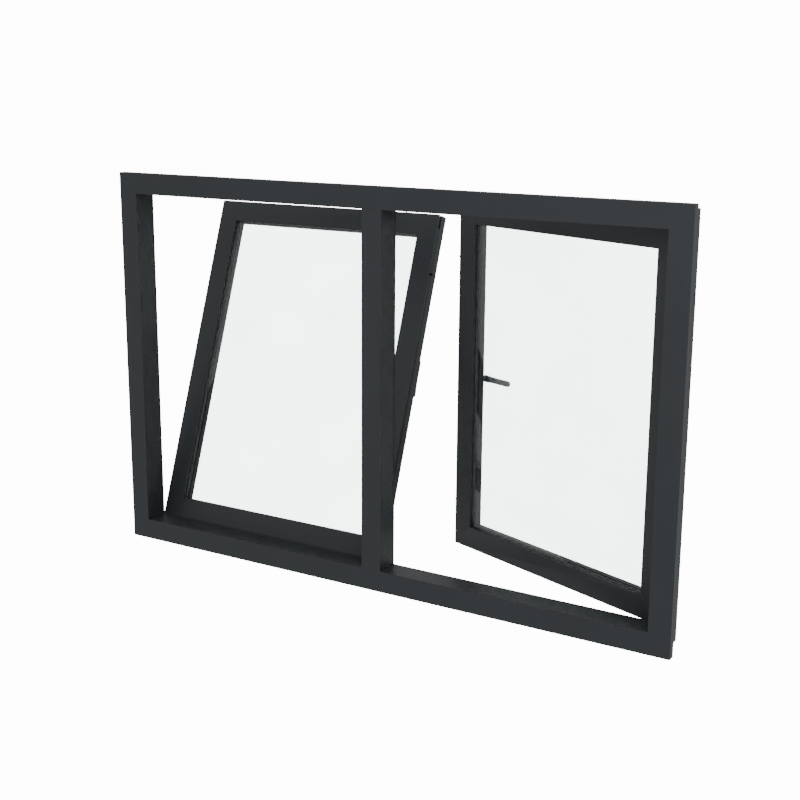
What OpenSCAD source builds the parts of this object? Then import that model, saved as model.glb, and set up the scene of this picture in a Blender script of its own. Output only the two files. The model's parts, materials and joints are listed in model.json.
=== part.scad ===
// Two-light tilt-and-turn window with a fixed mullion, shown with the left sash
// tilted in at the top and the right sash turned in on its side hinges.
// The origin is the middle of the frame's underside, +Y points into the room.

/* [Frame] */
// Overall width across the front flange
frame_w = 1800; // [1500:10:2100]
// Overall height across the front flange
frame_h = 1150; // [1000:10:1300]
// Overall depth of the frame from front to back
frame_d = 90; // [88:1:92]
// Width of the face of the frame and of the mullion
face_w = 62.5; // [60:0.5:66]
// How far the front flange stands out past the body that sits in the wall
flange_out = 17; // [15:1:18]
// Thickness of the front flange
flange_t = 24; // [20:1:26]
// Wall thickness of the aluminium profiles
wall = 2; // [1.6:0.1:2.2]

/* [Sashes] */
// Thickness of the sash profiles
sash_t = 43; // [42:1:44]
// Width of the sash face
sash_face = 65; // [64:0.5:68]
// Gap between the sash edge and the frame's rebate wall
rebate_gap = 13; // [12.5:0.5:13]
// Distance from the rebate wall to the edge of the sash at its foot
foot_gap = 4.5; // [4:0.5:5]
// Thickness of each glass pane
pane_t = 4; // [3:0.5:4]
// Width of the sealed space between the panes
pane_gap = 12; // [10:1:14]

/* [Pose] */
// Angle that the left sash is tilted in at the top
tilt_rest = 19.3; // [0:0.1:19.3]
// Angle that the right sash is turned into the room
turn_rest = 20.3; // [0:0.1:75]

/* [Handles] */
// Length of the lever from its pivot to its tip
lever_l = 104; // [90:1:120]
// Height of the lever's grip
lever_h = 17.5; // [14:0.5:20]
// Distance from the sash to the middle of the lever
lever_off = 45; // [42:1:50]
// Height of the handle above the foot of the sash
handle_v = 507; // [480:1:560]

/* [Hidden] */
$fn = 48;

// Colours of the finishes
anthracite = [0.24, 0.25, 0.26];
rubber = [0.10, 0.10, 0.11];
steel = [0.70, 0.71, 0.72];
glass = [0.86, 0.92, 0.92, 0.35];
handle_grey = [0.25, 0.28, 0.30];

// Frame levels
x_out = frame_w / 2;
z_foot = -flange_out;
z_top = frame_h - flange_out;
y_front = 33 - frame_d;
y_flange = y_front + flange_t;
y_leg = 13;
y_back = 33;
rebate_e = 46.5;
light_z0 = z_foot + face_w;
light_h = frame_h - 2 * face_w;
light_w = (frame_w - 3 * face_w) / 2;
light_x = face_w / 2;
stem_x = 15.25;

// Sash levels in its own frame: u from the hinge edge, t from the front, v up
sash_x = x_out - rebate_e - rebate_gap;
sash_w = sash_x - stem_x - rebate_gap;
sash_y = 20;
sash_z = z_foot + rebate_e + foot_gap;
sash_h = frame_h - 2 * rebate_e - foot_gap - rebate_gap;
lip_t = 7;
rebate_u = 47;
glass_t = 10;
glass_u = 51;
unit_t = 2 * pane_t + pane_gap;
bead_t = glass_t + unit_t + 3;
bead_end = sash_t + 7;

// Hardware groove round the sash edge
groove_t = 10.5;
groove_mouth = 12;
groove_w = 16;
groove_lip = 2;
groove_deep = 7.5;

// Hinge lines
pin_x = x_out - rebate_e - 1;
pin_y = 39;
pin_r = 3;
screw_r = 2;
knuckle_r = 5.5;
run_fit = 0.06;
tilt_z = sash_z + 3;
swivel_z = 1068;
arm_z = 1081;
arm_t = 3;
arm_w = 18;
arm_l = 780;
arm_closed = -0.75;
arm_ratio = 1.36;
guide_r = 2.2;

// Lock gear
spindle_u = sash_w - 33;
rack_r = 9.5;
keep_v = [150, 890];
cam_r = 3.5;
rod_lock = rack_r * PI / 2;
rod_v0 = 26;
rod_v1 = sash_h - 26;

// ---------- helpers ----------

// Swaps X and Z, which lays an upright bar along X
module lay() { mirror([1, 0, -1]) children(); }

// Upright bar with a mitre at both ends; the section's x runs inward
module mitred_bar(len, reach = 100) {
    intersection() {
        linear_extrude(len) children();
        translate([0, 200, 0]) rotate([90, 0, 0]) linear_extrude(400)
            polygon([[0, 0], [reach, reach], [reach, len - reach], [0, len]]);
    }
}

// One side of a rectangle w by h whose outer corner is at the origin
module side(which, w, h) {
    if (which == "left") mitred_bar(h) children();
    if (which == "right") translate([w, 0, 0]) mirror([1, 0, 0]) mitred_bar(h) children();
    if (which == "bottom") lay() mitred_bar(w) children();
    if (which == "top") translate([0, 0, h]) mirror([0, 0, 1]) lay() mitred_bar(w) children();
}

// Rectangular ring in the XZ plane between insets e0 and e1
module ring(w, h, e0, e1, y0, y1) {
    difference() {
        translate([e0, y0, e0]) cube([w - 2 * e0, y1 - y0, h - 2 * e0]);
        translate([e1, y0 - 1, e1]) cube([w - 2 * e1, y1 - y0 + 2, h - 2 * e1]);
    }
}

// Cuts the corners of an outline back by c
function eased(p, c) = [for (i = [0 : len(p) - 1]) for (k = [-1, 1])
    let (q = p[(i + k + len(p)) % len(p)], d = q - p[i]) p[i] + d * c / norm(d)];

// Plate drawn in the XZ plane from y0 to y1
module plate_y(y0, y1) {
    translate([0, y1, 0]) rotate([90, 0, 0]) linear_extrude(y1 - y0) children();
}

// Cylinder along Y or along X
module rod_y(r, y0, y1) { translate([0, y0, 0]) rotate([-90, 0, 0]) cylinder(r = r, h = y1 - y0); }
module rod_x(r, x0, x1) { translate([x0, 0, 0]) rotate([0, 90, 0]) cylinder(r = r, h = x1 - x0); }

// Screw with a low domed head on the XY plane and its shank along -Z
module screw(r, len) {
    rotate_extrude() polygon([[0, 0.8 * r], [r, 0.8 * r], [1.6 * r, 0.3 * r], [1.6 * r, 0],
        [r, 0], [r, -len], [0, -len]]);
}

// Four L-shaped cleats in the corners of a rectangle
module cleats(w, h, e0, e1, arm, y0, y1) {
    for (mx = [0, 1]) for (mz = [0, 1])
        translate([mx * w, 0, mz * h]) mirror([mx, 0, 0]) mirror([0, 0, mz])
            plate_y(y0, y1) difference() {
                polygon([[e0, e0], [arm, e0], [arm, e1], [e1, e1], [e1, arm], [e0, arm]]);
                translate([(e0 + e1) / 2, (e0 + e1) / 2]) circle(r = 5);
            }
}

// ---------- frame ----------

frame_outline = [[0, y_front], [face_w, y_front], [face_w, y_leg], [rebate_e, y_leg],
    [rebate_e, y_back], [flange_out, y_back], [flange_out, y_flange], [0, y_flange]];

module frame_section() {
    difference() {
        polygon(eased(frame_outline, 0.5));
        translate([wall, y_front + wall])
            square([face_w - 2 * wall, flange_t - 2 * wall]);
        translate([flange_out + wall, y_flange])
            square([face_w - flange_out - 2 * wall, y_leg - wall - y_flange]);
        translate([flange_out + wall, y_leg])
            square([rebate_e - flange_out - 2 * wall, y_back - wall - y_leg]);
    }
}

module frame_member(which) {
    color(anthracite) translate([-x_out, 0, z_foot])
        side(which, frame_w, frame_h) frame_section();
}

// Fixing holes through the rebate part of a jamb, no more than 700 apart
fix_z = [frame_h / 2 + z_foot - 350, frame_h / 2 + z_foot + 350];
fix_y = 23;
fix_r = 3.75;

module frame_jamb(which) {
    s = which == "left" ? -1 : 1;
    difference() {
        frame_member(which);
        for (z = fix_z) translate([s * (x_out - 60), fix_y, z]) rod_x(fix_r, -60, 60);
        at_bracket_screws() cylinder(r = screw_r, h = 30, center = true);
    }
}

module frame_jamb_left() { color(anthracite) frame_jamb("left"); }
module frame_jamb_right() { color(anthracite) frame_jamb("right"); }
module frame_head() { frame_member("top"); }

// The sill has drain slots through the rebate floor and the underside
module frame_sill() {
    color(anthracite) difference() {
        frame_member("bottom");
        for (x = [-640, -230, 230, 640]) translate([x - 14, 22, z_foot + 10])
            cube([28, 5, 50]);
        at_bracket_screws() cylinder(r = screw_r, h = 30, center = true);
    }
}

mullion_outline = [[-light_x, y_front], [light_x, y_front], [light_x, y_leg],
    [stem_x, y_leg], [stem_x, y_back], [-stem_x, y_back], [-stem_x, y_leg], [-light_x, y_leg]];

module mullion() {
    stem_z0 = z_foot + rebate_e;
    stem_z1 = z_top - rebate_e;
    color(anthracite) difference() {
        translate([0, 0, stem_z0]) linear_extrude(stem_z1 - stem_z0) difference() {
            polygon(eased(mullion_outline, 0.5));
            translate([-light_x + wall, y_front + wall])
                square([face_w - 2 * wall, flange_t - 2 * wall]);
            translate([-light_x + wall, y_flange])
                square([face_w - 2 * wall, y_leg - wall - y_flange]);
            translate([-stem_x + wall, y_leg])
                square([2 * stem_x - 2 * wall, y_back - wall - y_leg]);
        }
        for (z = [light_z0 - 30, light_z0 + light_h])
            translate([-50, y_front - 1, z]) cube([100, y_leg - y_front + 1, 30]);
        at_bracket_screws() cylinder(r = screw_r, h = 30, center = true);
        at_keep_screws() cylinder(r = screw_r, h = 16, center = true);
    }
}

module frame_corner_cleats() {
    color(steel) translate([-x_out, 0, z_foot])
        cleats(frame_w, frame_h, flange_out + wall, face_w - wall, 130, y_flange, y_leg - wall);
}

module mullion_end_plugs() {
    color(steel) for (z = [light_z0, light_z0 + light_h - 40])
        translate([-light_x + wall, y_flange, z]) difference() {
            cube([face_w - 2 * wall, y_leg - wall - y_flange, 40]);
            translate([light_x - wall, (y_leg - wall - y_flange) / 2, -1])
                cylinder(r = 6, h = 42);
        }
}

// Rubber stop between the frame's leg and the face of the sash
module stop_gasket(x0) {
    color(rubber) translate([x0 - 6, 0, light_z0 - 6])
        ring(light_w + 12, light_h + 12, 0, 6.2, y_leg, y_leg + 6.6);
}
module stop_gasket_left() { stop_gasket(-light_x - light_w); }
module stop_gasket_right() { stop_gasket(light_x); }

// Keeps on the sides of the mullion: a plate with a lip behind the cam
module keeps() {
    color(steel) for (m = [0, 1]) mirror([m, 0, 0]) for (v = keep_v)
        translate([stem_x, 0, sash_z + v]) difference() {
            union() {
                translate([0, y_leg + 4.5, -22]) cube([wall, 20, 44]);
                translate([0, y_back + 1.3, -8]) cube([5, 3.2, 16]);
            }
            for (z = [-16, 16]) translate([0, 21.5, z]) rod_x(screw_r, -1, 3);
        }
}

// ---------- hinges fixed to the frame ----------

// Base plate on the back of the frame, with its screw holes
module bracket_plate(x0, x1, z0, z1) {
    difference() {
        translate([x0, y_back, z0]) cube([x1 - x0, 3, z1 - z0]);
        for (z = [z0 + 6, z1 - 6]) translate([(x0 + x1) / 2, 0, z])
            rod_y(screw_r, y_back - 1, y_back + 4);
    }
}

// Every bracket screw, as a place with +Z out of the frame: x, then the heights
jamb_plate = [pin_x + 6.2, x_out - flange_out - 2];
jamb_mid = (jamb_plate[0] + jamb_plate[1]) / 2;
module at_bracket_screws() {
    for (row = [[jamb_mid, [46, 104, 1006, 1064]], [-jamb_mid, [28, 86, 1006, 1064]],
            [-7.5, [18, 76]]])
        for (z = row[1]) translate([row[0], y_back + 3, z]) rotate([-90, 0, 0]) children();
}
module at_keep_screws() {
    for (m = [0, 1]) mirror([m, 0, 0]) for (v = keep_v) for (z = [-16, 16])
        translate([stem_x + wall, 21.5, sash_z + v + z]) rotate([0, 90, 0]) children();
}

// Screws that hold the brackets and keeps
module bracket_screws() {
    color(steel) {
        at_bracket_screws() screw(screw_r, 12);
        at_keep_screws() screw(screw_r, 7);
    }
}

// Brackets with cross pins that carry the foot of the tilting sash
module tilt_pivot_brackets() {
    color(steel) {
        bracket_plate(-jamb_plate[1], -jamb_plate[0], 22, 92);
        translate([-pin_x - 12, y_back, tilt_z - 6]) cube([8, 12, 12]);
        translate([0, pin_y, tilt_z]) rod_x(pin_r, -pin_x - 12, -sash_x - 0.8);
        bracket_plate(-15, 0, 12, 82);
        translate([-14, y_back, tilt_z - 6]) cube([10, 12, 12]);
        translate([0, pin_y, tilt_z]) rod_x(pin_r, sash_w - sash_x + 0.8, -4);
    }
}

// Bracket on the jamb with an upright hinge pin
module turn_bracket(z0, k0, k1, p1) {
    color(steel) {
        bracket_plate(jamb_plate[0], jamb_plate[1], z0, z0 + 70);
        translate([pin_x, pin_y, k0]) cylinder(r = knuckle_r, h = k1 - k0);
        translate([pin_x, y_back + 0.6, k0]) cube([8, 5, k1 - k0]);
        translate([pin_x, pin_y, k0]) cylinder(r = pin_r, h = p1 - k0);
    }
}
module turn_hinge_bracket_lower() { turn_bracket(40, 60, 75, 92); }
module turn_hinge_bracket_upper() { turn_bracket(1000, 1054, 1069, 1085); }

// Bearing for the stay arm of the tilting sash, with a cross pin
module stay_bearing_left() {
    color(steel) {
        bracket_plate(-jamb_plate[1], -jamb_plate[0], 1000, 1070);
        translate([-pin_x - 13.5, y_back, swivel_z - 8]) cube([7.5, 12, 14]);
        translate([0, pin_y, swivel_z]) rod_x(2, -pin_x - 13, -pin_x + 5);
    }
}

// ---------- placing the sashes ----------

// A closed left sash runs from its hinge edge on the left; the right one is mirrored
module at_left(tilt = tilt_rest) {
    translate([0, pin_y, tilt_z]) rotate([-tilt, 0, 0]) translate([0, -pin_y, -tilt_z])
        translate([-sash_x, sash_y, sash_z]) children();
}
module at_right(turn = turn_rest) {
    translate([pin_x, pin_y, 0]) rotate([0, 0, -turn]) translate([-pin_x, -pin_y, 0])
        mirror([1, 0, 0]) translate([-sash_x, sash_y, sash_z]) children();
}

// ---------- parts of a sash ----------

sash_outline = [[0, 0], [sash_face, 0], [sash_face, lip_t], [rebate_u, lip_t],
    [rebate_u, sash_t], [0, sash_t]];

module sash_section() {
    difference() {
        polygon(eased(sash_outline, 0.5));
        translate([-1, groove_t - groove_mouth / 2]) square([groove_lip + 1.1, groove_mouth]);
        translate([groove_lip, groove_t - groove_w / 2])
            square([groove_deep - groove_lip, groove_w]);
        translate([groove_deep + wall, wall]) square([rebate_u - groove_deep - 2 * wall, 18.5]);
        translate([groove_deep + wall, wall]) square([sash_face - groove_deep - 2 * wall, 3]);
        translate([wall, 22.5]) square([rebate_u - 2 * wall, sash_t - wall - 22.5]);
    }
}

module sash_member(which) { color(anthracite) side(which, sash_w, sash_h) sash_section(); }

// The lock stile is pierced for the handle and for the drive rod's link
module lock_stile() {
    color(anthracite) difference() {
        sash_member("right");
        translate([spindle_u, 0, handle_v]) rod_y(6, 18, sash_t + 1);
        for (z = [-21.5, 21.5]) translate([spindle_u, 0, handle_v + z]) rod_y(2.2, 30, sash_t + 1);
        translate([sash_w - 12, groove_t - 3, handle_v - 70]) cube([8, 6, 140]);
    }
}

module sash_cleats() {
    color(steel) cleats(sash_w, sash_h, wall, rebate_u - wall, 105, 22.5, sash_t - wall);
}

// Rubber seals against both faces of the glass
module glazing_gaskets() {
    color(rubber) for (t = [lip_t, glass_t + unit_t])
        ring(sash_w, sash_h, 56, sash_face - 0.4, t, t + 3);
}

// Hollow beads that hold the glass from the room side and stand proud of the sash
module glazing_beads() {
    color(anthracite) for (which = ["left", "right", "bottom", "top"])
        side(which, sash_w, sash_h) difference() {
            translate([rebate_u, bead_t]) square([sash_face - rebate_u, bead_end - bead_t]);
            translate([rebate_u + 1.5, bead_t + 1.5])
                square([sash_face - rebate_u - 3, bead_end - bead_t - 3]);
        }
}

module pane(t) {
    color(glass) translate([glass_u, t, glass_u])
        cube([sash_w - 2 * glass_u, pane_t, sash_h - 2 * glass_u]);
}

module spacer_bar() {
    color(rubber) ring(sash_w, sash_h, glass_u + 5, sash_face - 1, glass_t + pane_t,
        glass_t + pane_t + pane_gap);
}

// Plastic blocks that carry and centre the glass
module setting_blocks() {
    color("dimgray") {
        for (u = [130, sash_w - 210]) for (v = [rebate_u, sash_h - glass_u])
            translate([u, glass_t, v]) cube([80, unit_t, glass_u - rebate_u]);
        for (u = [rebate_u, sash_w - glass_u]) translate([u, glass_t, sash_h - 260])
            cube([glass_u - rebate_u, unit_t, 80]);
    }
}

// Gearbox housing inside the lock stile, open towards the rod
case_u = [sash_w - 44, sash_w - 10];
module gearbox_case() {
    color(steel) difference() {
        translate([case_u[0], 2.2, handle_v - 62]) cube([case_u[1] - case_u[0], 18, 124]);
        translate([case_u[0] + 1, 3.7, handle_v - 60.5])
            cube([case_u[1] - case_u[0], 15, 121]);
        translate([spindle_u, 0, handle_v]) rod_y(6, 18, 22);
    }
}

module handle_base() {
    color(handle_grey) difference() {
        translate([spindle_u, 0, handle_v]) union() {
            plate_y(sash_t, sash_t + 9) union() {
                translate([-13.5, -19]) square([27, 38]);
                for (z = [-19, 19]) translate([0, z]) circle(r = 13.5);
            }
            rod_y(11, sash_t, sash_t + 13);
        }
        translate([spindle_u, 0, handle_v]) rod_y(8.06, sash_t - 1, sash_t + 14);
        for (z = [-21.5, 21.5]) translate([spindle_u, 0, handle_v + z])
            rod_y(2.2, sash_t - 1, sash_t + 10);
    }
}

module handle_screws() {
    color(steel) for (z = [-21.5, 21.5])
        translate([spindle_u, sash_t + 9, handle_v + z]) rotate([-90, 0, 0]) screw(screw_r, 27);
}

// Lever in its own frame: pivot at the origin, grip pointing up
module lever_shape() {
    t0 = lever_off - 6;
    color(handle_grey) {
        difference() {
            union() {
                rod_y(8, 1, t0 + 3);
                rod_y(10.5, 14, 17);
            }
            translate([-3.55, 0, -3.55]) cube([7.1, 20, 7.1]);
        }
        plate_y(t0, t0 + 12) union() {
            circle(r = 11);
            translate([-lever_h / 2, 0]) square([lever_h, lever_l - lever_h / 2]);
            translate([0, lever_l - lever_h / 2]) circle(r = lever_h / 2);
        }
    }
}
module handle_lever(turn) {
    translate([spindle_u, sash_t, handle_v]) rotate([0, turn, 0]) lever_shape();
}

// Square spindle with the gearbox pinion on its end
pinion_teeth = 16;
module handle_spindle(turn) {
    color(steel) translate([spindle_u, 0, handle_v]) rotate([0, turn, 0]) {
        translate([-3.5, 4.5, -3.5]) cube([7, sash_t + 14, 7]);
        plate_y(6.5, 14.5) polygon([for (i = [0 : 4 * pinion_teeth - 1])
            let (a = i * 90 / pinion_teeth, r = rack_r - (floor(i / 2) % 2 == 0 ? 0.3 : 2))
                r * [cos(a), sin(a)]]);
    }
}

// Drive rod in the groove, with a rib that fills the groove's mouth;
// its link reaches through the stile to the rack
module drive_rod(shift) {
    color(rubber) translate([0, 0, shift]) {
        translate([sash_w - 3, groove_t - 5.7, rod_v0]) cube([2.8, 11.4, rod_v1 - rod_v0]);
        translate([sash_w - 4.9, groove_t - 7.7, rod_v0]) cube([2.5, 15.4, rod_v1 - rod_v0]);
        translate([sash_w - 20.5, groove_t - 2.5, handle_v - 26]) cube([16.5, 5, 52]);
        for (z = [-24 : 4 : 24]) translate([spindle_u + rack_r, groove_t - 2.5, handle_v + z - 1])
            cube([4, 5, 2]);
    }
}

module locking_cams(shift) {
    color(rubber) for (v = keep_v)
        translate([sash_w, groove_t, v + shift]) rod_x(cam_r, -0.2, 10);
}

// ---------- left sash ----------

module left_sash_top_rail() { at_left() sash_member("top"); }
module left_sash_bottom_rail() { at_left() sash_member("bottom"); }
module left_sash_hinge_stile() { at_left() sash_member("left"); }
module left_sash_lock_stile() { at_left() lock_stile(); }
module left_sash_corner_cleats() { at_left() sash_cleats(); }
module left_glazing_gaskets() { at_left() glazing_gaskets(); }
module left_glazing_beads() { at_left() glazing_beads(); }
module left_outer_pane() { at_left() pane(glass_t); }
module left_inner_pane() { at_left() pane(glass_t + pane_t + pane_gap); }
module left_spacer_bar() { at_left() spacer_bar(); }
module left_setting_blocks() { at_left() setting_blocks(); }
module left_gearbox_case() { at_left() gearbox_case(); }
module left_handle_base() { at_left() handle_base(); }
module left_handle_screws() { at_left() handle_screws(); }
module left_handle_lever() { at_left() handle_lever(0); }
module left_handle_spindle() { at_left() handle_spindle(0); }
module left_drive_rod() { at_left() drive_rod(-rod_lock); }
module left_locking_cams() { at_left() locking_cams(-2 * rod_lock); }

// Leaves with a boss that turns on each cross pin, at both lower corners
module left_tilt_pivot_leaves() {
    color(steel) at_left() for (m = [0, 1]) translate([m * sash_w, 0, 0]) mirror([m, 0, 0])
        difference() {
            union() {
                translate([-2, 21, 1]) cube([2, 16, 70]);
                translate([0, pin_y - sash_y, tilt_z - sash_z]) rod_x(knuckle_r, -7, 0);
            }
            translate([0, pin_y - sash_y, tilt_z - sash_z]) rod_x(pin_r + run_fit, -8, -0.5);
        }
}

// Everything on the swivel leans half as far as the sash
module at_swivel() {
    translate([-pin_x, pin_y, swivel_z]) rotate([-tilt_rest / 2, 0, 0]) children();
}
module left_stay_swivel() {
    color(steel) at_swivel() {
        difference() {
            rod_x(5.2, -5, 5);
            rod_x(2 + run_fit, -6, 6);
        }
        translate([0, 0, 4.2]) cylinder(r = pin_r, h = arm_z - swivel_z - 1);
    }
}

// Flat stay arm along +X with an eye at the origin and a hole for its guide pin
module stay_arm_shape() {
    translate([0, 0, -arm_t / 2]) linear_extrude(arm_t) difference() {
        union() {
            circle(r = knuckle_r);
            translate([0, -4]) square([40, 8]);
            translate([24, -arm_w / 2]) square([arm_l - 24, arm_w]);
            translate([24, 0]) circle(r = arm_w / 2);
            translate([arm_l, 0]) circle(r = arm_w / 2);
        }
        circle(r = pin_r + run_fit);
        translate([arm_l, 0]) circle(r = guide_r);
    }
}

// Guide pin that hangs from the arm into the sash groove
module guide_pin_shape() {
    translate([arm_l, 0, -12.5]) cylinder(r = guide_r, h = 12.5 + arm_t / 2);
    translate([arm_l, 0, arm_t / 2]) cylinder(r = 4.5, h = 1);
}

module left_stay_place() {
    at_swivel() translate([0, 0, arm_z - swivel_z])
        rotate([0, 0, arm_closed + arm_ratio * tilt_rest]) children();
}
module left_stay_arm() { color(steel) left_stay_place() stay_arm_shape(); }
module left_stay_guide_pin() { color(steel) left_stay_place() guide_pin_shape(); }

// ---------- right sash ----------

module right_sash_top_rail() { at_right() sash_member("top"); }
module right_sash_bottom_rail() { at_right() sash_member("bottom"); }
module right_sash_hinge_stile() { at_right() sash_member("left"); }
module right_sash_lock_stile() { at_right() lock_stile(); }
module right_sash_corner_cleats() { at_right() sash_cleats(); }
module right_glazing_gaskets() { at_right() glazing_gaskets(); }
module right_glazing_beads() { at_right() glazing_beads(); }
module right_outer_pane() { at_right() pane(glass_t); }
module right_inner_pane() { at_right() pane(glass_t + pane_t + pane_gap); }
module right_spacer_bar() { at_right() spacer_bar(); }
module right_setting_blocks() { at_right() setting_blocks(); }
module right_gearbox_case() { at_right() gearbox_case(); }
module right_handle_base() { at_right() handle_base(); }
module right_handle_screws() { at_right() handle_screws(); }
module right_handle_lever() { at_right() handle_lever(-90); }
module right_handle_spindle() { at_right() handle_spindle(-90); }
module right_drive_rod() { at_right() drive_rod(0); }
module right_locking_cams() { at_right() locking_cams(-rod_lock); }

// Leaf on the sash edge with a knuckle that turns on the lower hinge pin
module right_turn_hinge_leaf() {
    color(steel) at_right() translate([0, 0, 75.5 - sash_z]) difference() {
        union() {
            translate([-2, 21, -30]) cube([2, 18, 70]);
            translate([sash_x - pin_x, pin_y - sash_y, 0]) cylinder(r = knuckle_r, h = 15);
            translate([sash_x - pin_x, 21, 0]) cube([pin_x - sash_x - 1, 3.5, 15]);
        }
        translate([sash_x - pin_x, pin_y - sash_y, -1]) cylinder(r = pin_r + run_fit, h = 17);
    }
}

module right_stay_place() {
    at_right() translate([sash_x - pin_x, pin_y - sash_y, arm_z - sash_z])
        rotate([0, 0, arm_closed]) children();
}
module right_stay_arm() { color(steel) right_stay_place() stay_arm_shape(); }
module right_stay_guide_pin() { color(steel) right_stay_place() guide_pin_shape(); }

// ---------- drawing ----------

frame_head();
frame_sill();
frame_jamb_left();
frame_jamb_right();
mullion();
frame_corner_cleats();
mullion_end_plugs();
stop_gasket_left();
stop_gasket_right();
keeps();
bracket_screws();
tilt_pivot_brackets();
turn_hinge_bracket_lower();
turn_hinge_bracket_upper();
stay_bearing_left();
left_sash_top_rail();
left_sash_bottom_rail();
left_sash_hinge_stile();
left_sash_lock_stile();
left_sash_corner_cleats();
left_glazing_gaskets();
left_glazing_beads();
left_outer_pane();
left_inner_pane();
left_spacer_bar();
left_setting_blocks();
left_tilt_pivot_leaves();
left_gearbox_case();
left_handle_base();
left_handle_screws();
left_handle_lever();
left_handle_spindle();
left_drive_rod();
left_locking_cams();
left_stay_swivel();
left_stay_arm();
left_stay_guide_pin();
right_sash_top_rail();
right_sash_bottom_rail();
right_sash_hinge_stile();
right_sash_lock_stile();
right_sash_corner_cleats();
right_glazing_gaskets();
right_glazing_beads();
right_outer_pane();
right_inner_pane();
right_spacer_bar();
right_setting_blocks();
right_turn_hinge_leaf();
right_gearbox_case();
right_handle_base();
right_handle_screws();
right_handle_lever();
right_handle_spindle();
right_drive_rod();
right_locking_cams();
right_stay_arm();
right_stay_guide_pin();
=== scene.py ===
# %% [markdown]
# # A two-light window with one sash tilted and one sash turned
# The window is an assembly of aluminium bars, rubber seals, glass units and
# steel hardware. The CAD model gives every one of those pieces its true place,
# so this lesson gives them their surfaces, eases their edges, and models the
# two pieces that a plain extrusion can't show well: the cast levers.

# %% Load the frame
import json
import math

import bmesh
import bpy
from mathutils import Matrix, Vector


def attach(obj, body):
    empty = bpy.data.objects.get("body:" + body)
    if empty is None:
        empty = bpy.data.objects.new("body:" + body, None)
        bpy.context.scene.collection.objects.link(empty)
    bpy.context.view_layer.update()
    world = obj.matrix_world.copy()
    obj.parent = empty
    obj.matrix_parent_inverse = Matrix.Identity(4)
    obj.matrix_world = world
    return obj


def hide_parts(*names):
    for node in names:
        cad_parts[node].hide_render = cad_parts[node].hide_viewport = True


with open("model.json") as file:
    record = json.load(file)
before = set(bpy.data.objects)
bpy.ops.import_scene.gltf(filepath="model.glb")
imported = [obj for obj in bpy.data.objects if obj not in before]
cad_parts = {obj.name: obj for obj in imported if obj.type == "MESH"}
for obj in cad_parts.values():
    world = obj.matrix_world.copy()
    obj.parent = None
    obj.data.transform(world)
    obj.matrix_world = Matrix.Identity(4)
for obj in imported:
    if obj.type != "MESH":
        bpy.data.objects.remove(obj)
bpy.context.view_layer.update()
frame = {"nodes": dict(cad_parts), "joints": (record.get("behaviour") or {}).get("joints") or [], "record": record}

nodes = frame["nodes"]
record = frame["record"]

# %% [markdown]
# ## Units and directions
# Lengths in this lesson are given in millimetres, because window makers talk
# in millimetres, and `MM` turns them into Blender's metres. The joints in the
# record say where each lever turns and which way each sash faces, so the
# levers built here read their places from there.

# %% Units and joints
MM = 0.001
UP = Vector((0, 0, 1))
joints = {j["name"]: j for j in frame["joints"]}


def joint_axis(name):
    """The joint's axis as a unit vector."""
    return Vector(joints[name]["axis"]).normalized()


def joint_place(name):
    """The point that the joint turns about."""
    return Vector(joints[name]["pos_m"])


left_inward = joint_axis("left_handle_turn")
right_inward = -joint_axis("right_handle_turn")
left_up = joint_axis("left_rod_slide")
print("left sash faces", tuple(round(v, 3) for v in left_inward))
print("right sash faces", tuple(round(v, 3) for v in right_inward))

# %% [markdown]
# ## Colours
# Paint makers and web tools write colours as sRGB hex. Shaders work in linear
# light, so one function turns the first into the second.


# %% Colours
def linear(hex_colour, alpha=1.0):
    """Linear RGBA from an sRGB hex colour."""
    channels = [int(hex_colour[i:i + 2], 16) / 255 for i in (1, 3, 5)]
    return (*[c / 12.92 if c <= 0.04045 else ((c + 0.055) / 1.055) ** 2.4
              for c in channels], alpha)


print("anthracite in linear light:", [round(c, 4) for c in linear("#33373B")])

# %% [markdown]
# ## A way to write node trees
# A material is a small graph. One function adds a node, sets its values and
# links its inputs, so that each finish below reads as a short list. A value
# that is a socket of another node becomes a link; anything else is set on
# the node's own socket or property.


# %% Node helper
def add(tree, kind, inputs=None, **settings):
    """Adds a node; inputs maps socket names or numbers to values or to other sockets."""
    node = tree.nodes.new(kind)
    for key, value in settings.items():
        setattr(node, key, value)
    for key, value in (inputs or {}).items():
        if isinstance(value, bpy.types.NodeSocket):
            tree.links.new(value, node.inputs[key])
        else:
            node.inputs[key].default_value = value
    return node


def new_material(name):
    """An empty material with its output, and its tree."""
    material = bpy.data.materials.new(name)
    material.use_nodes = True
    material.node_tree.nodes.clear()
    return material, material.node_tree


def ramp(tree, factor, stops):
    """A colour ramp from a list of (position, colour)."""
    node = add(tree, "ShaderNodeValToRGB", {0: factor})
    elements = node.color_ramp.elements
    while len(elements) < len(stops):
        elements.new(0.5)
    for element, (position, colour) in zip(elements, stops):
        element.position = position
        element.color = colour
    return node.outputs[0]


def finish_surface(tree, shader):
    """Joins a shader to the material's output."""
    add(tree, "ShaderNodeOutputMaterial", {0: shader.outputs[0]})


print("node helpers ready")

# %% [markdown]
# ## Worn corners
# Hands and cloths rub a finish where it sticks out, so the coats and the bare
# metals here are a little brighter on their corners. A corner is found by
# comparing the true surface direction with one that is rounded off over a
# small reach: on a flat face the two agree, and the more they differ, the
# sharper the corner.

# %% Edge wear
FLAT_ENOUGH = 0.995
FULLY_WORN = 0.90


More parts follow.
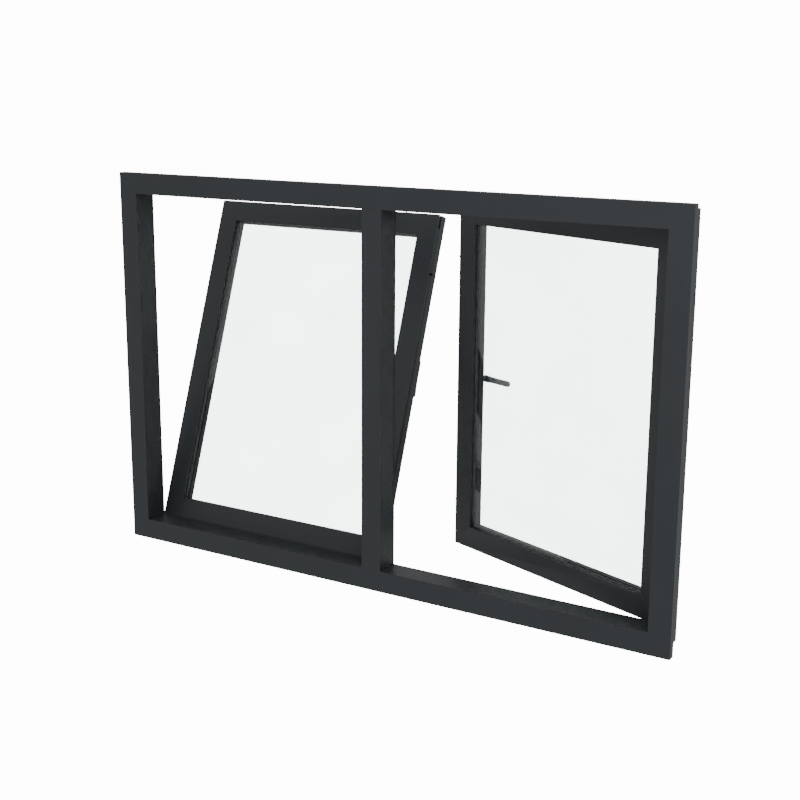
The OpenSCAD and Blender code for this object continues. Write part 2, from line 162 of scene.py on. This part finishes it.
def edge_wear(tree, base, worn, reach_mm, most):
    """Blends the base colour towards the worn one near corners, by at most this share."""
    soft = add(tree, "ShaderNodeBevel", {"Radius": reach_mm * MM}, samples=4).outputs[0]
    flat = add(tree, "ShaderNodeNewGeometry").outputs["Normal"]
    turned = add(tree, "ShaderNodeVectorMath", {0: soft, 1: flat}, operation="DOT_PRODUCT")
    edge = add(tree, "ShaderNodeMapRange", {
        "Value": turned.outputs["Value"], "From Min": FLAT_ENOUGH, "From Max": FULLY_WORN,
        "To Min": 0.0, "To Max": most,
    }).outputs[0]
    return add(tree, "ShaderNodeMix", {
        "Factor": edge, "A": base, "B": linear(worn),
    }, data_type="RGBA").outputs["Result"]


print("worn corners start where the two directions agree by less than", FLAT_ENOUGH)

# %% [markdown]
# ## Powder coat on aluminium
# The frame, the sashes and the beads are extruded aluminium, sprayed with
# polyester powder in anthracite grey and baked. The powder melts into a skin
# about 0.07 mm thick with a very fine orange peel: it scatters light, so the
# faces look even, but at a low angle they still mirror the room softly. The
# skin is thinner on the corners, where handling rubs it a little brighter.
# The passes of the spray gun leave a faint cloudiness a hand's length across.
# The real peel is about 0.5 mm across, too fine to show, so it is drawn at
# 2.5 mm and kept very shallow.

# %% Powder coat
PEEL_MM = 2.5
HAZE_MM = 260


def powder_coat(name, colour, worn, dusty, roughness):
    """Baked polyester powder, with peel, faint haze and brighter corners."""
    material, tree = new_material(name)
    place = add(tree, "ShaderNodeTexCoord").outputs["Object"]
    haze = add(tree, "ShaderNodeTexNoise", {
        "Vector": place, "Scale": 1 / (HAZE_MM * MM), "Detail": 4.0, "Roughness": 0.6,
    }).outputs[0]
    peel = add(tree, "ShaderNodeTexNoise", {
        "Vector": place, "Scale": 1 / (PEEL_MM * MM), "Detail": 2.0, "Roughness": 0.5,
    }).outputs[0]
    base = ramp(tree, haze, [(0.30, linear(colour)), (0.72, linear(dusty))])
    rubbed = edge_wear(tree, base, worn, 1.2, 0.5)
    gloss = add(tree, "ShaderNodeMapRange", {
        "Value": haze, "To Min": roughness - 0.05, "To Max": roughness + 0.06,
    }).outputs[0]
    bump = add(tree, "ShaderNodeBump", {
        "Height": peel, "Strength": 0.06, "Distance": 0.3 * MM,
    }).outputs[0]
    shader = add(tree, "ShaderNodeBsdfPrincipled", {
        "Base Color": rubbed, "Roughness": gloss, "Normal": bump,
        "IOR": 1.45, "Coat Weight": 0.07, "Coat Roughness": 0.18,
    })
    finish_surface(tree, shader)
    return material


for_frame = powder_coat("anthracite_powder_coat", "#2F3336", "#474C50", "#33373B", 0.46)
print("made", for_frame.name)

# %% [markdown]
# ## Coated zinc of the levers
# A lever and its base plate are zinc die castings, tumbled smooth and given a
# satin grey lacquer with a little metal flake in it, so they look bluer and
# livelier than the powder coat beside them. Real flakes are finer than a
# hair, so they are drawn at 1.2 mm and kept very shallow.

# %% Lever finish
FLAKE_MM = 1.2


def cast_lacquer():
    """Satin flake lacquer over a zinc casting."""
    material, tree = new_material("satin_lacquered_zinc_casting")
    place = add(tree, "ShaderNodeTexCoord").outputs["Object"]
    flake = add(tree, "ShaderNodeTexVoronoi", {
        "Vector": place, "Scale": 1 / (FLAKE_MM * MM),
    }).outputs["Distance"]
    cloud = add(tree, "ShaderNodeTexNoise", {
        "Vector": place, "Scale": 1 / (40 * MM), "Detail": 3.0,
    }).outputs[0]
    colour = ramp(tree, cloud, [(0.35, linear("#59666C")), (0.7, linear("#66747A"))])
    colour = edge_wear(tree, colour, "#8C969A", 0.8, 0.6)
    gloss = add(tree, "ShaderNodeMapRange", {
        "Value": cloud, "To Min": 0.26, "To Max": 0.36,
    }).outputs[0]
    bump = add(tree, "ShaderNodeBump", {
        "Height": flake, "Strength": 0.02, "Distance": 0.1 * MM,
    }).outputs[0]
    shader = add(tree, "ShaderNodeBsdfPrincipled", {
        "Base Color": colour, "Metallic": 0.55, "Roughness": gloss, "Normal": bump,
        "Coat Weight": 0.4, "Coat Roughness": 0.12,
    })
    finish_surface(tree, shader)
    return material


for_levers = cast_lacquer()
print("made", for_levers.name)

# %% [markdown]
# ## EPDM rubber seals
# The seals are extruded EPDM rubber. New, they are a dull black with a fine
# grain from the die, and they pick up a little grey dust, so the black is
# never quite even. The real grain is about 0.3 mm, too fine to show, so it is
# drawn at 1.5 mm.

# %% Rubber
DIE_GRAIN_MM = 1.5


def epdm_rubber():
    """Dull black extruded rubber with grain and a little dust."""
    material, tree = new_material("epdm_rubber_seal")
    place = add(tree, "ShaderNodeTexCoord").outputs["Object"]
    grain = add(tree, "ShaderNodeTexNoise", {
        "Vector": place, "Scale": 1 / (DIE_GRAIN_MM * MM), "Detail": 3.0,
    }).outputs[0]
    dust = add(tree, "ShaderNodeTexNoise", {
        "Vector": place, "Scale": 1 / (90 * MM), "Detail": 5.0, "Roughness": 0.65,
    }).outputs[0]
    colour = ramp(tree, dust, [(0.40, linear("#26282A")), (0.75, linear("#343637"))])
    bump = add(tree, "ShaderNodeBump", {
        "Height": grain, "Strength": 0.25, "Distance": 0.2 * MM,
    }).outputs[0]
    gloss = add(tree, "ShaderNodeMapRange", {
        "Value": dust, "To Min": 0.52, "To Max": 0.72,
    }).outputs[0]
    shader = add(tree, "ShaderNodeBsdfPrincipled", {
        "Base Color": colour, "Roughness": gloss, "Normal": bump, "IOR": 1.52,
        "Sheen Weight": 0.05, "Sheen Roughness": 0.4,
    })
    finish_surface(tree, shader)
    return material


for_seals = epdm_rubber()
print("made", for_seals.name)

# %% [markdown]
# ## Float glass
# Float glass is flat, colourless across its thickness and a little green
# where light runs along it. Its index of refraction is 1.52. Real panes bow
# by a hair as the air sealed between them swells, which bends reflections
# slowly over hundreds of millimetres.

# %% Glass
BOW_MM = 420


def float_glass():
    """Clear float glass with a barely wavy face and a faint film of dust."""
    material, tree = new_material("clear_float_glass")
    place = add(tree, "ShaderNodeTexCoord").outputs["Object"]
    bow = add(tree, "ShaderNodeTexNoise", {
        "Vector": place, "Scale": 1 / (BOW_MM * MM), "Detail": 1.0,
    }).outputs[0]
    film = add(tree, "ShaderNodeTexNoise", {
        "Vector": place, "Scale": 1 / (160 * MM), "Detail": 4.0,
    }).outputs[0]
    tint = ramp(tree, film, [(0.35, linear("#FBFEFD")), (0.75, linear("#F6FAFA"))])
    bump = add(tree, "ShaderNodeBump", {
        "Height": bow, "Strength": 0.02, "Distance": 1.0 * MM,
    }).outputs[0]
    gloss = add(tree, "ShaderNodeMapRange", {
        "Value": film, "From Min": 0.5, "From Max": 0.9, "To Min": 0.0, "To Max": 0.015,
    }).outputs[0]
    shader = add(tree, "ShaderNodeBsdfPrincipled", {
        "Base Color": tint, "Roughness": gloss, "Normal": bump, "IOR": 1.52,
        "Transmission Weight": 1.0,
    })
    finish_surface(tree, shader)
    return material


for_glass = float_glass()
print("made", for_glass.name)

# %% [markdown]
# ## Bare metals inside and behind
# Four metals show without paint when a sash is open: zinc-plated steel on the
# hinges, keeps and screws; dark anodised aluminium on the drive rods and
# their cams; aluminium on the spacer bars between the panes; and sawn
# aluminium on the cleats. The spacer bars are given a lighter grey than the
# dark anodised slot they share, and that lighter grey is painted light: it
# stands in for the light that the glass keeps from reaching between the
# panes. Each keeps the default index of refraction, as metals do, and differs
# in colour, gloss and the direction of its fine marks. Real drawing and sawing
# marks are a few tenths of a millimetre apart, so they are drawn at 1 to 2 mm
# to show.

# %% Bare metals
def bare_metal(name, dark, light, roughness, mark_mm, stretch):
    """A bare metal with drawn marks, longer along the stretched direction."""
    material, tree = new_material(name)
    place = add(tree, "ShaderNodeTexCoord").outputs["Object"]
    along = add(tree, "ShaderNodeMapping", {"Vector": place, "Scale": stretch})
    marks = add(tree, "ShaderNodeTexNoise", {
        "Vector": along.outputs[0], "Scale": 1 / (mark_mm * MM), "Detail": 3.0,
    }).outputs[0]
    cloud = add(tree, "ShaderNodeTexNoise", {
        "Vector": place, "Scale": 1 / (30 * MM), "Detail": 4.0,
    }).outputs[0]
    colour = ramp(tree, cloud, [(0.3, linear(dark)), (0.7, linear(light))])
    colour = edge_wear(tree, colour, "#C4C6C8", 0.5, 0.4)
    gloss = add(tree, "ShaderNodeMapRange", {
        "Value": marks, "To Min": roughness - 0.07, "To Max": roughness + 0.09,
    }).outputs[0]
    bump = add(tree, "ShaderNodeBump", {
        "Height": marks, "Strength": 0.12, "Distance": 0.1 * MM,
    }).outputs[0]
    shader = add(tree, "ShaderNodeBsdfPrincipled", {
        "Base Color": colour, "Metallic": 1.0, "Roughness": gloss, "Normal": bump,
    })
    finish_surface(tree, shader)
    return material


for_steel = bare_metal("bright_zinc_plated_steel", "#8E9194", "#B4B7BA", 0.34, 2.0,
                       (1, 1, 0.15))
for_anodised = bare_metal("dark_anodised_aluminium", "#3C4043", "#484C4F", 0.45, 1.5,
                          (0.2, 1, 0.2))
# The spacers' lighter grey is painted light: it stands in for light that the glass keeps from reaching between the
# panes.
for_spacer_painted_light = bare_metal("spacer_grey_painted_light", "#73787B", "#7E8386", 0.60, 1.5,
                        (0.2, 1, 0.2))
for_cleats = bare_metal("sawn_aluminium", "#A3A5A6", "#BCBEBF", 0.50, 1.0, (1, 0.1, 1))
print("made", for_steel.name, for_anodised.name, for_spacer_painted_light.name, for_cleats.name)

# %% [markdown]
# ## Moulded polypropylene blocks
# The blocks that carry the glass are moulded in black polypropylene with a
# spark-eroded grain of about half a millimetre, drawn a little coarser.

# %% Plastic blocks
GRAIN_MM = 0.8


def moulded_plastic():
    """Matt moulded plastic with a fine eroded grain."""
    material, tree = new_material("moulded_polypropylene")
    place = add(tree, "ShaderNodeTexCoord").outputs["Object"]
    grain = add(tree, "ShaderNodeTexNoise", {
        "Vector": place, "Scale": 1 / (GRAIN_MM * MM), "Detail": 2.0,
    }).outputs[0]
    colour = ramp(tree, grain, [(0.3, linear("#1E1F20")), (0.8, linear("#272829"))])
    gloss = add(tree, "ShaderNodeMapRange", {
        "Value": grain, "To Min": 0.48, "To Max": 0.62,
    }).outputs[0]
    bump = add(tree, "ShaderNodeBump", {
        "Height": grain, "Strength": 0.2, "Distance": 0.1 * MM,
    }).outputs[0]
    shader = add(tree, "ShaderNodeBsdfPrincipled", {
        "Base Color": colour, "Roughness": gloss, "Normal": bump, "IOR": 1.49,
    })
    finish_surface(tree, shader)
    return material


for_blocks = moulded_plastic()
print("made", for_blocks.name)

# %% [markdown]
# ## Giving every CAD piece its finish
# The record names one material slot for each piece, so the finishes are
# handed out by slot, each with the radius of its corners in millimetres. The
# spacer bars share a slot with the drive rods but get a lighter grey of their
# own, which is painted light for the light that the glass keeps from reaching
# between the panes. A knife-sharp edge never catches light, and real edges
# do: an extrusion's corner has a radius of about a third of a millimetre, a
# seal's is nearly a millimetre and a casting's is more. Welding the mesh
# first lets the bevel find the shared edges.

# %% Finishes by slot
WELD_MM = 0.002
SHARP_DEG = 32

finishes = {
    "powder_coat": (for_frame, 0.35),
    "handle_coating": (for_levers, 1.6),
    "rubber_seal": (for_seals, 0.9),
    "clear_glass": (for_glass, 0.25),
    "black_plastic": (for_blocks, 0.4),
    "dark_anodised": (for_anodised, 0.4),
    "mill_aluminium": (for_cleats, 0.2),
    "zinc_plated_steel": (for_steel, 0.3),
}


def soften(obj, radius_mm, segments=2):
    """Rounds every sharp edge by a radius in millimetres."""
    weld = obj.modifiers.new("weld", "WELD")
    weld.merge_threshold = WELD_MM * MM
    bevel = obj.modifiers.new("eased_edges", "BEVEL")
    bevel.width = radius_mm * MM
    bevel.segments = segments
    bevel.limit_method = "ANGLE"
    bevel.angle_limit = math.radians(SHARP_DEG)
    bevel.harden_normals = True


slot_of = {part["node"]: part["material_slot"] for part in record["subparts"]}
for name, obj in nodes.items():
    material, radius = finishes[slot_of[name]]
    # Spacer bars take the lighter grey, painted light that lifts the shade between the panes.
    if name.endswith("spacer_bar"):
        material = for_spacer_painted_light
    if not obj.material_slots:
        obj.data.materials.append(material)
    for material_slot in obj.material_slots:
        material_slot.material = material
    soften(obj, radius)
print("finished", len(nodes), "CAD pieces")

# %% [markdown]
# ## Building a turned or a lofted form
# A lever is a casting with no flat faces: its section changes all along it.
# The way to build such a form is a loft. It takes a list of rings with the
# same number of points, skins them with quads, and closes both ends. The
# same function makes a turned form when its rings are circles.

# %% Loft
def loft(name, rings, material, body):
    """Skins closed rings of points, closes the ends, and hands the piece to a body."""
    mesh = bmesh.new()
    rows = [[mesh.verts.new(point) for point in ring] for ring in rings]
    count = len(rows[0])
    for low, high in zip(rows, rows[1:]):
        for i in range(count):
            k = (i + 1) % count
            mesh.faces.new((low[i], low[k], high[k], high[i]))
    mesh.faces.new(list(reversed(rows[0])))
    mesh.faces.new(rows[-1])
    bmesh.ops.recalc_face_normals(mesh, faces=mesh.faces)
    data = bpy.data.meshes.new(name)
    mesh.to_mesh(data)
    mesh.free()
    data.shade_smooth()
    data.materials.append(material)
    obj = bpy.data.objects.new(name, data)
    bpy.context.scene.collection.objects.link(obj)
    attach(obj, body)
    return obj


def oval(centre, side, other, half_side, half_other, power, count=32):
    """A ring between an ellipse (power 2) and a rectangle (high power)."""
    points = []
    for i in range(count):
        angle = 2 * math.pi * i / count
        c, s = math.cos(angle), math.sin(angle)
        a = math.copysign(abs(c) ** (2 / power), c) * half_side
        b = math.copysign(abs(s) ** (2 / power), s) * half_other
        points.append(centre + side * a + other * b)
    return points


print("a ring has", len(oval(Vector(), UP, left_inward, 1, 1, 2)), "points")

# %% [markdown]
# ## The levers
# Each lever is one casting: a round neck with a raised collar that turns in
# the base, a shoulder that sweeps through a right angle, and a grip with a
# rounded end that the hand closes on. The neck is turned from circles along
# the spindle, and the grip is lofted from soft rectangles along its length:
# full at the shoulder, a little slimmer at the middle, and rounded off over
# the last few millimetres. A grip's section is squarer than an ellipse, which
# the power of its rings sets.

# %% Lever profiles
NECK_R = 8.0
COLLAR_R = 10.5
GRIP_AWAY = 45.0
GRIP_POWER = 3.2

# Distance from the sash, radius
neck_profile = [
    (1.0, 7.6), (1.6, NECK_R), (13.4, NECK_R), (14.0, COLLAR_R - 0.8),
    (14.6, COLLAR_R), (16.4, COLLAR_R), (17.0, COLLAR_R - 0.8), (17.4, NECK_R - 0.4),
    (26.0, NECK_R - 0.9), (34.0, NECK_R - 0.6), (38.5, NECK_R), (42.0, NECK_R),
]
# Distance along the grip from the spindle, half height, half thickness
grip_profile = [
    (-11.0, 3.0, 1.6), (-10.6, 5.2, 3.0), (-9.2, 7.8, 4.6), (-6.5, 9.9, 5.5),
    (-2.0, 10.9, 6.0), (4.0, 10.8, 6.0), (12.0, 9.7, 6.0), (24.0, 8.9, 5.9),
    (45.0, 8.5, 5.6), (70.0, 8.6, 5.6), (88.0, 8.75, 5.8), (95.0, 8.6, 5.7),
    (99.0, 7.6, 5.2), (101.8, 6.0, 4.3), (103.3, 4.1, 3.0), (104.0, 2.0, 1.4),
]
print("the grip reaches", grip_profile[-1][0], "mm from the spindle")


# %% One lever
def lever(side, place, inward, grip_way):
    """Neck and grip of one lever, at its pivot on the sash."""
    across = inward.cross(grip_way).normalized()
    neck_rings = [
        oval(place + inward * (away * MM), across, grip_way, r * MM, r * MM, 2)
        for away, r in neck_profile
    ]
    grip_foot = place + inward * (GRIP_AWAY * MM)
    grip_rings = [
        oval(grip_foot + grip_way * (along * MM), across, inward, h * MM, t * MM, GRIP_POWER)
        for along, h, t in grip_profile
    ]
    pieces = []
    for part_name, rings in (("neck", neck_rings), ("grip", grip_rings)):
        piece = loft(f"{side}_lever_{part_name}", rings, for_levers,
                     f"{side}_handle")
        smooth = piece.modifiers.new("smooth", "SUBSURF")
        smooth.levels = smooth.render_levels = 1
        pieces.append(piece)
    return pieces


# %% Make both levers
# The left lever points up, and the right one points at its sash's hinges.
right_hinge_way = right_inward.cross(UP).normalized()
left_neck, left_grip = lever("left", joint_place("left_handle_turn"),
                             left_inward, left_up)
right_neck, right_grip = lever("right", joint_place("right_handle_turn"),
                               right_inward, right_hinge_way)
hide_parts("left_handle_lever")
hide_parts("right_handle_lever")
print("levers:", [p.name for p in (left_neck, left_grip, right_neck, right_grip)])

# %% [markdown]
# ## The room
# The window hangs in a white studio. The floor is a wide pale sheet well
# below it, and the sky is an even white, so the glass has something bright
# to show and the dark frame is lit softly from all around.
#
# A studio sets how bright its backdrop looks and how strongly it lights the
# object apart from each other, with separate lamps. Here the Light Path node
# does the same: a ray that comes straight from the eye meets the backdrop, a
# ray that has crossed nothing but clear glass meets a slightly dimmer white,
# and every other ray meets the gentle room light.

# %% Brightness of the room
FLOOR_Z = -2.6
SHEET_W = 60.0
ROOM_LIGHT = 0.60
THROUGH_GLASS = 7.6
BACKDROP = 13.5
FLOOR_GAIN = 1.12
VEILED_WHITE = "#F7FBFC"


def straight_through_glass(tree, ray):
    """1 for a ray that has met nothing but clear glass on its way, else 0."""
    scattered = add(tree, "ShaderNodeMath", {
        0: ray.outputs["Diffuse Depth"], 1: ray.outputs["Glossy Depth"],
    }, operation="ADD").outputs[0]
    clean = add(tree, "ShaderNodeMath", {0: scattered, 1: 0.5}, operation="LESS_THAN").outputs[0]
    return add(tree, "ShaderNodeMath", {
        0: ray.outputs["Is Transmission Ray"], 1: clean,
    }, operation="MULTIPLY").outputs[0]


print("backdrop", BACKDROP, "through glass", THROUGH_GLASS, "room", ROOM_LIGHT)


# %% Floor
def pale_floor():
    """A large pale sheet with the faintest unevenness."""
    material, tree = new_material("white_studio_floor")
    place = add(tree, "ShaderNodeTexCoord").outputs["Object"]
    uneven = add(tree, "ShaderNodeTexNoise", {"Vector": place, "Scale": 0.6}).outputs[0]
    colour = ramp(tree, uneven, [(0.3, linear("#F4F4F4")), (0.7, linear("#F8F8F8"))])
    ray = add(tree, "ShaderNodeLightPath")
    sheet = add(tree, "ShaderNodeBsdfDiffuse", {"Color": colour})
    veiled = add(tree, "ShaderNodeEmission", {
        "Color": linear(VEILED_WHITE), "Strength": THROUGH_GLASS,
    })
    glow = add(tree, "ShaderNodeEmission", {
        "Color": colour, "Strength": BACKDROP * FLOOR_GAIN,
    })
    behind = add(tree, "ShaderNodeMixShader", {
        0: straight_through_glass(tree, ray), 1: sheet.outputs[0], 2: veiled.outputs[0],
    })
    mixed = add(tree, "ShaderNodeMixShader", {
        0: ray.outputs["Is Camera Ray"], 1: behind.outputs[0], 2: glow.outputs[0],
    })
    finish_surface(tree, mixed)
    return material


floor_mesh = bpy.data.meshes.new("studio_floor")
half = SHEET_W / 2
floor_mesh.from_pydata([(-half, -half, FLOOR_Z), (half, -half, FLOOR_Z),
                        (half, half, FLOOR_Z), (-half, half, FLOOR_Z)], [], [(0, 1, 2, 3)])
floor_mesh.materials.append(pale_floor())
floor = bpy.data.objects.new("studio_floor", floor_mesh)
bpy.context.scene.collection.objects.link(floor)
print("floor", SHEET_W, "m wide")

# %% Sky
world = bpy.data.worlds.new("white_studio")
bpy.context.scene.world = world
world.use_nodes = True
sky = world.node_tree
sky.nodes.clear()
ray = add(sky, "ShaderNodeLightPath")
lit = add(sky, "ShaderNodeBackground", {"Color": linear("#FFFFFF"), "Strength": ROOM_LIGHT})
behind_glass = add(sky, "ShaderNodeBackground", {
    "Color": linear(VEILED_WHITE), "Strength": THROUGH_GLASS,
})
backdrop = add(sky, "ShaderNodeBackground", {"Color": linear("#FFFFFF"), "Strength": BACKDROP})
through = add(sky, "ShaderNodeMixShader", {
    0: straight_through_glass(sky, ray), 1: lit.outputs[0], 2: behind_glass.outputs[0],
})
seen = add(sky, "ShaderNodeMixShader", {
    0: ray.outputs["Is Camera Ray"], 1: through.outputs[0], 2: backdrop.outputs[0],
})
add(sky, "ShaderNodeOutputWorld", {0: seen.outputs[0]})
print("sky is lit evenly")

# %% [markdown]
# ## Lights
# Two large soft boxes shape the frame. One stands out to the right and makes
# the outer side a shade brighter than the fronts. The other stands high in
# front on the same side, so the fronts grow a little lighter towards the
# upper right corner.

# %% Soft boxes
def soft_box(name, place, aim, size, power):
    """A square area light that looks at a point."""
    light = bpy.data.lights.new(name, "AREA")
    light.energy = power
    light.size = size
    obj = bpy.data.objects.new(name, light)
    obj.location = place
    obj.rotation_euler = (Vector(aim) - Vector(place)).to_track_quat("-Z", "Y").to_euler()
    bpy.context.scene.collection.objects.link(obj)


middle = (0.0, 0.0, 0.55)
soft_box("side_box", (4.2, -0.6, 2.6), middle, 2.4, 11)
soft_box("front_right_box", (1.5, -1.7, 2.2), (0.8, 0.0, 0.9), 1.1, 21)

# %% [markdown]
# ## Camera
# The view stands to the right of the window and above its middle, and looks
# down and to the left, so both open sashes show. The camera is set by its
# place, its two viewing angles and a very small roll.

# %% Camera
CAMERA_PLACE = Vector((1.9638, -3.1219, 1.4193))
TURN_DEG = -31.374
DOWN_DEG = 13.506
ROLL_DEG = 0.375
LENS_MM = 60.7

turn, down, roll = (math.radians(a) for a in (TURN_DEG, DOWN_DEG, ROLL_DEG))
forward = Vector((math.sin(turn) * math.cos(down), math.cos(turn) * math.cos(down),
                  -math.sin(down)))
level = forward.cross(UP).normalized()
upright = level.cross(forward).normalized()
right = level * math.cos(roll) + upright * math.sin(roll)
top = upright * math.cos(roll) - level * math.sin(roll)
camera = bpy.data.objects.new("camera", bpy.data.cameras.new("camera"))
camera.data.lens = LENS_MM
camera.data.sensor_width = 36.0
camera.data.clip_end = 200.0
pose = Matrix((right, top, -forward)).transposed().to_4x4()
pose.translation = CAMERA_PLACE
camera.matrix_world = pose
bpy.context.scene.collection.objects.link(camera)
bpy.context.scene.camera = camera
print("camera at", tuple(CAMERA_PLACE))
